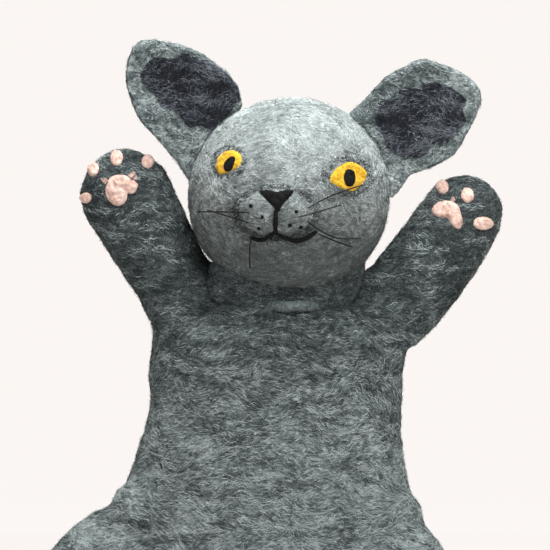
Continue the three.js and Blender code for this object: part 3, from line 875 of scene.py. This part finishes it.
PALM_SHAPES = {
    "right": [(-0.92, 0.38), (-0.67, 0.84), (-0.13, 1), (0.4, 0.89), (0.84, 0.56), (1, 0.33),
              (0.84, -0.09), (0.62, -0.25), (0.38, -0.23), (0.33, -0.55), (0.13, -0.88),
              (-0.22, -1), (-0.62, -0.83), (-0.93, -0.41), (-1, -0.05)],
    "left": [(-1, 0.38), (-0.83, 0.69), (-0.48, 0.91), (-0.08, 1), (0.39, 0.91), (0.72, 0.65),
             (0.88, 0.2), (1, -0.33), (0.96, -0.78), (0.76, -1), (0.41, -0.86), (0.16, -0.55),
             (0.02, -0.25), (-0.31, -0.2), (-0.65, -0.15), (-0.95, 0.08)],
}
ROUND_SHAPE = [(math.cos(t), math.sin(t)) for t in np.linspace(0, 2 * math.pi, 8, endpoint=False)]
ROUND_PADS = ("toe_pad_1", "toe_pad_2", "toe_pad_3", "side_pad")
STITCH_REACH = 1.8 * MM  # what each end of a mouth stitch gains
WHISKERS = ["right_whisker_1", "right_whisker_2", "chin_whisker", "left_whisker_1",
            "left_whisker_2", "left_whisker_3", "left_whisker_4"]


def felted(piece, name, node, body, material, tones, seed, per_cm2=60, length=3 * MM,
           proud=0.25, lift=0.7):
    """Finishes a felted patch: its material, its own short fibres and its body."""
    piece.data.materials.append(material)
    wool = fibres(f"{name}_fibres", piece.data, per_cm2, length, 0.11 * MM, tones, seed,
                  proud=proud, lift=lift, keep=lambda p, n: n[:, 1] < 0.3, stray=2.0)
    for made in (piece, *wool):
        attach(made, body)
    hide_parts(node)


def make_face(head):
    yellow = felt_material("eye_felt", YELLOW_TONES, patch=5 * MM, clump=1.5 * MM,
                           strand=1.2 * MM, relief=0.25 * MM)
    black = felt_material("black_felt", BLACK_TONES, patch=5 * MM, clump=1.5 * MM,
                          strand=1.2 * MM, relief=0.4 * MM, sheen=0.0)
    yellow_tones = fibre_materials("yellow_fibre", YELLOW_TONES)
    black_tones = fibre_materials("black_fibre", BLACK_TONES)
    skin = surface_tree(head.data)
    for seed, side in enumerate(SIDES):
        iris = patch(f"{side}_iris_felt", skin, fitted(f"{side}_iris", EYE_SHAPES[side]), 1.3 * MM,
                     seed=seed)
        pupil = patch(f"{side}_pupil_felt", surface_tree(iris.data),
                      fitted(f"{side}_pupil", PUPIL_SHAPES[side]), 0.8 * MM, sink=0.5 * MM,
                      grain=0.45 * MM, edge=0.6 * MM, seed=seed)
        felted(iris, f"{side}_iris", f"{side}_iris", "head", yellow, yellow_tones,
               40 + seed, proud=0.1)
        felted(pupil, f"{side}_pupil", f"{side}_pupil", "head", black, black_tones,
               42 + seed, proud=0.1, length=2 * MM)
    nose = patch("nose_felt", skin, fitted("nose", NOSE_SHAPE), 2 * MM, seed=3)
    felted(nose, "nose", "nose", "head", black, black_tones, 45, length=2.4 * MM)
    for seed, node in enumerate(("philtrum_line", "right_mouth_line", "left_mouth_line")):
        yarn = strand_piece(node.replace("line", "stitch"), lengthened(centreline(node, 7), skin),
                            1.25 * MM, 10, wobble=0.35, taper=0.75)
        felted(yarn, node, node, "head", black, black_tones, 50 + seed,
               length=2.2 * MM)
    for side in SIDES:
        for k in (1, 2, 3):
            node = f"{side}_whisker_dot_{k}"
            dot = patch(f"{side}_whisker_spot_{k}", skin, fitted(node, ROUND_SHAPE), 0.8 * MM,
                        grain=0.4 * MM, edge=0.5 * MM, seed=k)
            felted(dot, f"{side}_whisker_spot_{k}", node, "head", black, black_tones,
                   60 + k, length=1.6 * MM)


def lengthened(line, skin):
    """The line with its ends drawn out a little further over the surface."""
    ends = []
    for end, inner in ((line[0], line[1]), (line[-1], line[-2])):
        way = (end - inner) / np.linalg.norm(end - inner)
        hit = skin.find_nearest(Vector(end + way * STITCH_REACH))
        ends.append(np.array(hit[0] + hit[1] * 0.4 * MM))
    return np.vstack([ends[0], line[1:-1], ends[1]])


def centreline(node, count):
    """The middle line of a thread-like CAD node, found by slicing it along its length."""
    points = node_points(node)
    centre = points.mean(0)
    main = np.linalg.svd(points - centre, full_matrices=False)[2][0]
    along = (points - centre) @ main
    marks = np.linspace(along.min(), along.max(), count)
    reach = (marks[1] - marks[0]) * 0.8
    line = []
    for mark in marks:
        weight = np.clip(1 - np.abs(along - mark) / reach, 0, None)
        line.append((points * weight[:, None]).sum(0) / weight.sum())
    return np.array(line)


def strand_piece(name, line, radius, sides, wobble=0.0, taper=0.5):
    """A closed strand along a line of points, a little uneven and thinner at its ends."""
    steps = np.linspace(0, len(line) - 1, len(line) * 6)
    whole = np.minimum(steps.astype(int), len(line) - 2)
    part = (steps - whole)[:, None]
    before, after = np.maximum(whole - 1, 0), np.minimum(whole + 2, len(line) - 1)
    path = catmull_rom(line[before], line[whole], line[whole + 1], line[after], part)
    tangent = np.gradient(path, axis=0)
    tangent /= np.linalg.norm(tangent, axis=1)[:, None]
    side = np.cross(tangent, [0.1, 1.0, 0.05])
    side /= np.linalg.norm(side, axis=1)[:, None]
    other = np.cross(tangent, side)
    share = np.linspace(0, 1, len(path))
    width = radius * (taper + (1 - taper) * np.sin(np.pi * np.clip(share, 0.02, 0.98)) ** 0.4)
    width *= np.array([1 + wobble * noise.noise(Vector(p) / (1.6 * MM)) for p in path])
    turns = np.linspace(0, 2 * np.pi, sides, endpoint=False)
    rings = [path + width[:, None] * (side * math.cos(t) + other * math.sin(t)) for t in turns]
    points = np.stack(rings, 1).reshape(-1, 3)
    first = (np.arange(len(path) - 1) * sides)[:, None, None]
    k = np.arange(sides)[None, :]
    nxt = (k + 1) % sides
    quads = np.stack([k, nxt, nxt + sides, k + sides], -1) + first
    caps = np.stack([np.arange(sides)[::-1], np.arange(sides) + (len(path) - 1) * sides])
    mesh = mesh_from(name, points, [quads.reshape(-1, 4), caps])
    remember_rest(mesh)
    return new_object(name, mesh)


def outline_shade(middle, half, inside, outside):
    """A test for points on the front of the head that lie in an elliptical band."""
    def keep(points, normals):
        across = (points[:, 0] - middle[0]) / half[0]
        up = (points[:, 2] - middle[1]) / half[1]
        far = np.hypot(across, up)
        return (far > inside) & (far < outside) & (normals[:, 1] < 0)
    return keep


def make_outlines_and_shade(head):
    """Dark wool worked in round the muzzle and the eyes: their dark felted outlines, and painted
    shade round the muzzle's bulge and round the eyes.
    """
    tones = fibre_materials("outline_and_shade_wool", {
        "dark": BLACK_TONES["middle"], "middle": BLACK_TONES["light"],
        "light": BODY_TONES["middle"]})
    low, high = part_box("muzzle_pad")
    bands = [("muzzle", (low + high) / 2, (high - low) / 2, 0.86, 1.04, 170, 4.5 * MM)]
    for side in SIDES:
        low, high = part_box(f"{side}_iris")
        bands.append((f"{side}_eye", (low + high) / 2, (high - low) / 2, 0.95, 1.4, 190, 3 * MM))
    for seed, (name, middle, half, inside, outside, per_cm2, length) in enumerate(bands):
        keep = outline_shade((middle.x, middle.z), (half.x, half.z), inside, outside)
        for made in fibres(f"{name}_contour", head.data, per_cm2, length, 0.12 * MM, tones,
                           80 + seed, keep=keep, stray=1.2, mottle=0.2):
            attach(made, "head")


def make_whiskers():
    thread = plain_material("whisker_thread", (0.002, 0.002, 0.002), roughness=0.6)
    for node in WHISKERS:
        piece = strand_piece(f"{node}_thread", centreline(node, 6), 0.42 * MM, 6, taper=0.6)
        piece.data.materials.append(thread)
        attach(piece, "head")
        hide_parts(node)


def make_pads():
    pink = felt_material("pad_felt", PINK_TONES, patch=6 * MM, clump=2 * MM, strand=1.6 * MM,
                         relief=0.3 * MM)
    tones = fibre_materials("pink_fibre", PINK_TONES)
    for side in SIDES:
        skin = surface_tree(bpy.data.objects[f"{side}_arm_felt"].data)
        pads = {"palm_pad": PALM_SHAPES[side], **dict.fromkeys(ROUND_PADS, ROUND_SHAPE)}
        for seed, (pad, shape) in enumerate(pads.items()):
            node = f"{side}_{pad}"
            piece = patch(f"{node}_felt", skin, fitted(node, shape), 2.2 * MM, seed=seed,
                          edge=1.6 * MM)
            felted(piece, node, node, f"{side}_arm", pink, tones, 70 + seed,
                   per_cm2=45)


# ---- Inside ----


def make_inside():
    wool = felt_material("raw_wool", WOOL_TONES, patch=10 * MM)
    bodies = {"head_stuffing": "head"}
    for side in SIDES:
        bodies[f"{side}_paw_stuffing"] = f"{side}_arm"
        bodies[f"{side}_leg_stuffing"] = f"{side}_leg"
    for seed, (node, body) in enumerate(bodies.items()):
        piece = fused(node.replace("stuffing", "wool"), [frame["nodes"][node].data], 2.5 * MM, 4)
        swell(piece.data, -1.5 * MM)
        roughen(piece.data, 1.2 * MM, 7 * MM, seed)
        remember_rest(piece.data)
        piece.data.materials.append(wool)
        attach(piece, body)
        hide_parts(node)


def ring_points(loops, sides=64):
    """A closed ring solid through ellipses given as (x, y, z, half width, half depth)."""
    turns = np.linspace(0, 2 * np.pi, sides, endpoint=False)[:, None]
    x, y, z, width, depth = np.array(loops).T[:, None, :]
    points = np.stack([
        x + width * np.cos(turns), y + depth * np.sin(turns),
        np.broadcast_to(z, (sides, len(loops)))], -1)
    k = np.arange(sides)[:, None]
    m = np.arange(len(loops))[None, :]
    n = len(loops)
    right, up = (k + 1) % sides, (m + 1) % n
    faces = np.stack([k * n + m, right * n + m, right * n + up, k * n + up], -1)
    return points.reshape(-1, 3), faces.reshape(-1, 4)


# The felt between the chest and the head, from under the chest's top to inside the head:
# x, y, z, half width and half depth of its outside.
NECK_WRAP = np.array([
    (7.2, 3, 170, 34, 24), (7, 3, 175, 39, 24.5), (6.6, 3, 181, 42, 25),
    (6.8, 3, 187, 43.5, 27), (8, 3, 193, 44, 30), (9, 2, 199, 43, 32),
]) * MM
TUBE_GAP = 2 * MM  # from the tube to the hole in the chest's top
TUBE_RADIUS = NECK_RADIUS - TUBE_GAP
HEAD_GAP = 4 * MM  # from the tube's top down to the felt's
ROLL_DROP = 4 * MM  # from the collar's top down to the roll's middle
ROLL_OUT = 3 * MM  # from the tube out to the roll's middle
ROLL_SIZE = (2 * MM, 3 * MM)  # half its width and half its height


def make_neck():
    felt, tones = GREY
    axis = joint_point("head_turn")
    low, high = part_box("neck_tube")
    collar_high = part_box("neck_collar")[1]
    inner = TUBE_RADIUS - FELT_THICKNESS
    heights = np.linspace(low.z, high.z - HEAD_GAP, 12)
    wall = [(axis.x, axis.y, z, TUBE_RADIUS, TUBE_RADIUS) for z in heights]
    wall += [(axis.x, axis.y, z, inner, inner) for z in heights[::-1]]
    roll = []
    for t in np.linspace(0, 2 * math.pi, 12, endpoint=False):
        radius = TUBE_RADIUS + ROLL_OUT + ROLL_SIZE[0] * math.cos(t)
        height = collar_high.z - ROLL_DROP + ROLL_SIZE[1] * math.sin(t)
        roll.append((axis.x, axis.y, height, radius, radius))
    inset = np.array([0, 0, 0, 1, 1]) * FELT_THICKNESS
    steps = np.linspace(0, len(NECK_WRAP) - 1, 16)
    outside = np.stack([np.interp(steps, range(len(NECK_WRAP)), column)
                        for column in NECK_WRAP.T], -1)
    wrap = np.vstack([outside, outside[::-1] - inset])
    for name, loops, node in (("neck_tube_felt", wall, "neck_tube"),
                              ("neck_roll", roll, "neck_collar"),
                              ("neck_felt", wrap, "neck_fold")):
        points, faces = ring_points(loops)
        mesh = mesh_from(name, points, [faces])
        roughen(mesh, 0.6 * MM, 6 * MM, 8)
        remember_rest(mesh)
        mesh.materials.append(felt)
        piece = new_object(name, mesh)
        pieces = [piece]
        if name == "neck_felt":
            # The neck's fibres are darker: painted shade, as the neck lies in the shadow under the
            # chin.
            pieces += fibres("neck_fibres", mesh, 75, 6 * MM, 0.125 * MM, tones, 90, stray=0.42,
                             deepen=lambda points: 0.6)
        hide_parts(node)
        for made in pieces:
            if name == "neck_roll":
                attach(made, "neck")
            else:
                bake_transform(made)


# ---- Stage ----

VIEW_WIDTH = 308 * MM  # what the picture spans at the puppet
CAMERA_DISTANCE = 2.0
CAMERA_HEIGHT = 0.596  # of the puppet's height
SENSOR = 36.0
# The floor's front, back and height at the back, the radius of its sweep, and half its width.
FLOOR = {"front": -3.5, "back": 2.2, "rise": 3.5, "bend": 1.0, "half": 4.0}
FLOOR_COLOUR = (0.66, 0.635, 0.62, 1)
BACKDROP_COLOUR = (0.02, 0.02, 0.02, 1)
BACKDROP_GLOW = (1.0, 0.955, 0.925, 1)
GLOW_STRENGTH = 0.95
GLOW_FADE = (0.1, 0.7)  # where the glow starts and is full, behind the puppet
WORLD_COLOUR = (1.0, 0.97, 0.95, 1)
WORLD_STRENGTH = 0.3


def make_camera():
    low, high = cad_box
    data = bpy.data.cameras.new("camera")
    camera = bpy.data.objects.new("camera", data)
    bpy.context.scene.collection.objects.link(camera)
    data.sensor_width = SENSOR
    data.lens = SENSOR * (CAMERA_DISTANCE + 0.01) / VIEW_WIDTH
    camera.location = (2 * MM, -CAMERA_DISTANCE, low.z + CAMERA_HEIGHT * (high.z - low.z))
    camera.rotation_euler = (math.pi / 2, 0, 0)
    data.clip_end = 50
    bpy.context.scene.camera = camera


def make_stage():
    """A pale floor that sweeps up behind the puppet."""
    back, bend, half = FLOOR["back"], FLOOR["bend"], FLOOR["half"]
    line = [(FLOOR["front"], 0.0), (back - bend, 0.0)]
    for t in np.linspace(0, math.pi / 2, 16):
        line.append((back - bend + bend * math.sin(t), bend - bend * math.cos(t)))
    line.append((back, FLOOR["rise"]))
    points = [(x, y, z) for y, z in line for x in (-half, half)]
    faces = np.array([(2 * k, 2 * k + 1, 2 * k + 3, 2 * k + 2) for k in range(len(line) - 1)])
    floor = new_object("floor", mesh_from("floor", np.array(points), [faces]))
    material, tree, shader = new_material("pale_floor")
    place = add_node(tree, "ShaderNodeNewGeometry").outputs["Position"]
    parts = add_node(tree, "ShaderNodeSeparateXYZ", {0: place})
    behind = add_node(tree, "ShaderNodeMapRange", {
        "Value": parts.outputs["Y"], "From Min": GLOW_FADE[0], "From Max": GLOW_FADE[1]})
    cover = add_node(tree, "ShaderNodeMix", {
        0: behind.outputs[0], 6: FLOOR_COLOUR, 7: BACKDROP_COLOUR}, data_type="RGBA")
    glow = add_node(tree, "ShaderNodeMath", {
        0: behind.outputs[0], 1: GLOW_STRENGTH}, operation="MULTIPLY")
    tree.links.new(cover.outputs[2], shader.inputs["Base Color"])
    tree.links.new(glow.outputs[0], shader.inputs["Emission Strength"])
    shader.inputs["Emission Color"].default_value = BACKDROP_GLOW
    shader.inputs["Roughness"].default_value = 1.0
    shader.inputs["Specular IOR Level"].default_value = 0.0
    floor.data.materials.append(material)


def add_light(name, place, target, size, watts):
    data = bpy.data.lights.new(name, "AREA")
    data.shape = "DISK"
    data.size = size
    data.energy = watts
    light = bpy.data.objects.new(name, data)
    light.location = place
    light.rotation_euler = (Vector(target) - Vector(place)).to_track_quat("-Z", "Y").to_euler()
    bpy.context.scene.collection.objects.link(light)


def make_lights():
    low, high = cad_box
    middle = (low + high) / 2
    add_light("key", (0.3, -0.75, 0.85), middle, 0.5, 14)
    add_light("top", (0.0, -0.1, 0.95), middle, 0.5, 12)
    add_light("fill", (-1.3, -1.3, 0.5), middle, 1.0, 4)
    world = bpy.data.worlds.new("world")
    world.use_nodes = True
    background = world.node_tree.nodes["Background"]
    background.inputs["Color"].default_value = WORLD_COLOUR
    background.inputs["Strength"].default_value = WORLD_STRENGTH
    bpy.context.scene.world = world
    bpy.context.scene.view_settings.view_transform = "Standard"


# The body's felt, darkest under the head and paler down to the belly as painted shade, and its
# fibres.
GREY = (felt_material("body_felt", BODY_TONES, darker=(235 * MM, 110 * MM)),
        fibre_materials("body_wool", BODY_TONES))

make_camera()
make_stage()
make_lights()
make_body()
head_felt = make_head()
make_ears()
make_face(head_felt)
make_outlines_and_shade(head_felt)
make_whiskers()
make_pads()
make_inside()
make_neck()
